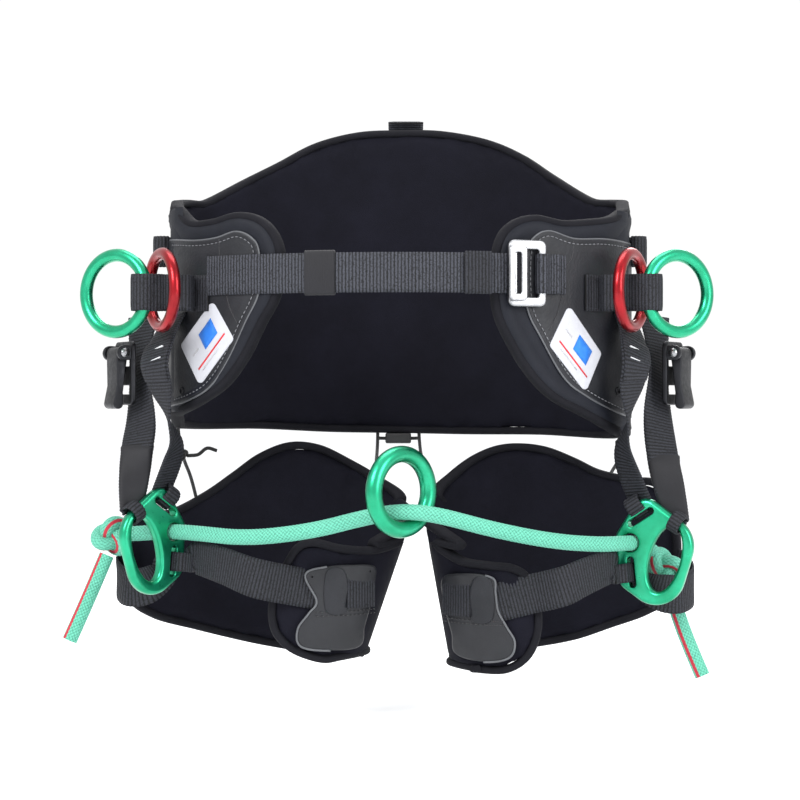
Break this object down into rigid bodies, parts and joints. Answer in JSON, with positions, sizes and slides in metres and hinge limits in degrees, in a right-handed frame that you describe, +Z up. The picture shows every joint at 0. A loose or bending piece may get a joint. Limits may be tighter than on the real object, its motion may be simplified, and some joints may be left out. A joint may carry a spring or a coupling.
{
  "type": "tree climbing saddle",
  "caption": "Padded work-positioning saddle: wrap-round back pad and hip wings, front belt with buckle, side rings, leg pads and a sliding rope bridge with a centre ring.",
  "frame": {"origin": "middle of the waist opening at the height of the belt's centre line", "axes": "+Z up as worn, -Y the wearer's front, +X to the right as seen from the front"},
  "size_m": [0.5094, 0.2717, 0.4585],
  "materials": {
    "neoprene": "matte padded knit",
    "wing_fabric": "matte coated fabric with a rolled rim",
    "panel_leather": "satin grained leather-like panel",
    "sleeve_vinyl": "satin smooth coated fabric",
    "label": "satin woven label",
    "green_anodised": "gloss anodised",
    "red_anodised": "gloss anodised",
    "buckle_alloy": "satin",
    "black_alloy": "satin black",
    "bridge_rope": "braided sheath",
    "shock_cord": "braided elastic",
    "black_plastic": "moulded",
    "tape_sleeve": "smooth tape",
    "webbing": "ribbed woven webbing"
  },
  "bodies": {
    "root": {"back_pad": "neoprene", "belt_folded_end": "webbing", "belt_rear": "webbing", "bridge_ring_left": "green_anodised", "bridge_ring_right": "green_anodised", "bridge_rope": "bridge_rope", "buckle_frame": "buckle_alloy", "cam_frame_left": "black_alloy", "cam_frame_right": "black_alloy", "cam_pin_left": "buckle_alloy", "cam_pin_right": "buckle_alloy", "cord_fitting_right": "black_plastic", "elastic_centre_left": "shock_cord", "elastic_centre_right": "shock_cord", "elastic_knot_left": "shock_cord", "elastic_link": "shock_cord", "elastic_side_left": "shock_cord", "elastic_side_right": "shock_cord", "front_riser_left": "webbing", "front_riser_right": "webbing", "hang_loop": "webbing", "hip_panel_left": "panel_leather", "hip_panel_right": "panel_leather", "hip_wing_left": "wing_fabric", "hip_wing_right": "wing_fabric", "panel_label_left": "label", "panel_label_right": "label", "rear_riser_left": "webbing", "rear_riser_right": "webbing", "ring_tab_left": "webbing", "ring_tab_right": "webbing", "riser_sleeve_left": "tape_sleeve", "riser_sleeve_right": "tape_sleeve", "rope_knot_left": "bridge_rope", "rope_knot_right": "bridge_rope", "rope_tail_left": "bridge_rope", "rope_tail_right": "bridge_rope", "side_loop_left": "webbing", "side_loop_right": "webbing", "waist_belt_left": "webbing", "waist_belt_right": "webbing"},
    "side_ring_left": {"side_ring_left": "green_anodised"},
    "gear_ring_left": {"gear_ring_left": "red_anodised"},
    "cam_lever_left": {"cam_lever_left": "black_alloy"},
    "leg_loop_left": {"leg_pad_left": "neoprene", "leg_sleeve_left": "sleeve_vinyl", "leg_strap_left": "webbing", "thigh_strap_left": "webbing"},
    "side_ring_right": {"side_ring_right": "green_anodised"},
    "gear_ring_right": {"gear_ring_right": "red_anodised"},
    "cam_lever_right": {"cam_lever_right": "black_alloy"},
    "leg_loop_right": {"leg_pad_right": "neoprene", "leg_sleeve_right": "sleeve_vinyl", "leg_strap_right": "webbing", "thigh_strap_right": "webbing"},
    "centre_ring": {"centre_ring": "green_anodised"},
    "belt_keeper": {"belt_keeper": "webbing"},
    "buckle_plate": {"buckle_plate": "buckle_alloy"},
    "cord_lock": {"cord_lock_centre": "black_plastic"}
  },
  "joints": [
    {"name": "side_ring_left_swing", "type": "hinge", "parent": "root", "child": "side_ring_left", "pos_m": [-0.195, -0.074, -0.013], "axis": [0, 0, 1], "range_deg": [-20, 24]},
    {"name": "gear_ring_left_swing", "type": "hinge", "parent": "root", "child": "gear_ring_left", "pos_m": [-0.182, -0.071, -0.011], "axis": [0, 0, 1], "range_deg": [-8, 8]},
    {"name": "cam_lever_left_lift", "type": "hinge", "parent": "root", "child": "cam_lever_left", "pos_m": [-0.22295, -0.02372, -0.058], "axis": [0.4695, -0.8829, 0], "range_deg": [-70, 0]},
    {"name": "leg_loop_left_swing", "type": "hinge", "parent": "root", "child": "leg_loop_left", "pos_m": [-0.19, -0.045, -0.215], "axis": [1, 0, 0], "range_deg": [-10, 10], "deforming": ["leg_strap_left", "thigh_strap_left", "elastic_centre_left", "elastic_side_left"]},
    {"name": "side_ring_right_swing", "type": "hinge", "parent": "root", "child": "side_ring_right", "pos_m": [0.19, -0.074, -0.013], "axis": [0, 0, 1], "range_deg": [-24, 20]},
    {"name": "gear_ring_right_swing", "type": "hinge", "parent": "root", "child": "gear_ring_right", "pos_m": [0.177, -0.071, -0.011], "axis": [0, 0, 1], "range_deg": [-8, 8]},
    {"name": "cam_lever_right_lift", "type": "hinge", "parent": "root", "child": "cam_lever_right", "pos_m": [0.22145, -0.02423, -0.058], "axis": [0.4695, 0.8829, 0], "range_deg": [-70, 0]},
    {"name": "leg_loop_right_swing", "type": "hinge", "parent": "root", "child": "leg_loop_right", "pos_m": [0.19, -0.045, -0.215], "axis": [1, 0, 0], "range_deg": [-10, 10], "deforming": ["leg_strap_right", "thigh_strap_right", "elastic_centre_right", "elastic_side_right"]},
    {"name": "centre_ring_swing", "type": "hinge", "parent": "root", "child": "centre_ring", "pos_m": [0.001, -0.121, -0.177], "axis": [1, 0, 0], "range_deg": [-20, 30]},
    {"name": "belt_keeper_slide", "type": "hinge", "parent": "root", "child": "belt_keeper", "pos_m": [0, 0.13912, 0], "axis": [0, 0, 1], "range_deg": [-3, 19]},
    {"name": "buckle_plate_tilt", "type": "hinge", "parent": "root", "child": "buckle_plate", "pos_m": [0.08173, -0.10908, 0], "axis": [0, 0, 1], "range_deg": [-30, 0]},
    {"name": "cord_lock_slide", "type": "slide", "parent": "root", "child": "cord_lock", "axis": [1, 0, 0], "range_m": [-0.004, 0.004]}
  ]
}
